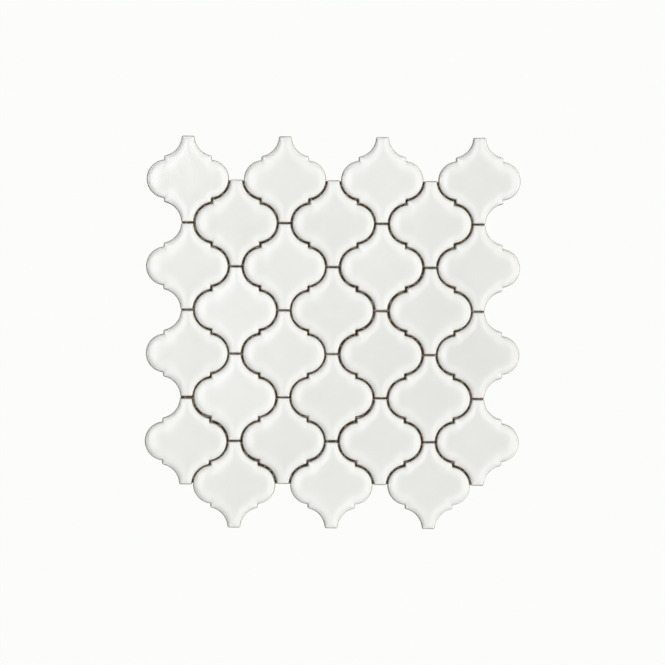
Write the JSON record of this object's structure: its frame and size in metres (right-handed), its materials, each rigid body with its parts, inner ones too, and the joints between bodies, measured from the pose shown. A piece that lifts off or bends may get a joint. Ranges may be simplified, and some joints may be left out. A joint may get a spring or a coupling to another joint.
{
  "type": "lantern mosaic tile sheet",
  "caption": "Mosaic sheet of white glazed lantern-shaped ceramic tiles in staggered interlocking columns on a glass-fibre net, for walls and splashbacks.",
  "frame": {"origin": "middle of the sheet, on the floor under the net", "axes": "+Z out of the glazed faces, +Y up the columns, +X across them"},
  "size_m": [0.2494, 0.261, 0.006],
  "materials": {
    "glazed_tile": "gloss white glaze on the face, bare cream body at the drafted sides and the back",
    "net": "coated glass-fibre yarn"
  },
  "bodies": {
    "root": {"tile_c1_r1": "glazed_tile", "tile_c1_r2": "glazed_tile", "tile_c1_r3": "glazed_tile", "tile_c1_r4": "glazed_tile", "tile_c2_r1": "glazed_tile", "tile_c2_r2": "glazed_tile", "tile_c2_r3": "glazed_tile", "tile_c2_r4": "glazed_tile", "tile_c3_r1": "glazed_tile", "tile_c3_r2": "glazed_tile", "tile_c3_r3": "glazed_tile", "tile_c3_r4": "glazed_tile", "tile_c4_r1": "glazed_tile", "tile_c4_r2": "glazed_tile", "tile_c4_r3": "glazed_tile", "tile_c4_r4": "glazed_tile", "tile_c5_r1": "glazed_tile", "tile_c5_r2": "glazed_tile", "tile_c5_r3": "glazed_tile", "tile_c5_r4": "glazed_tile", "tile_c6_r1": "glazed_tile", "tile_c6_r2": "glazed_tile", "tile_c6_r3": "glazed_tile", "tile_c6_r4": "glazed_tile", "tile_c7_r1": "glazed_tile", "tile_c7_r2": "glazed_tile", "tile_c7_r3": "glazed_tile", "tile_c7_r4": "glazed_tile", "net_weft": "net", "net_warp": "net"}
  },
  "joints": []
}
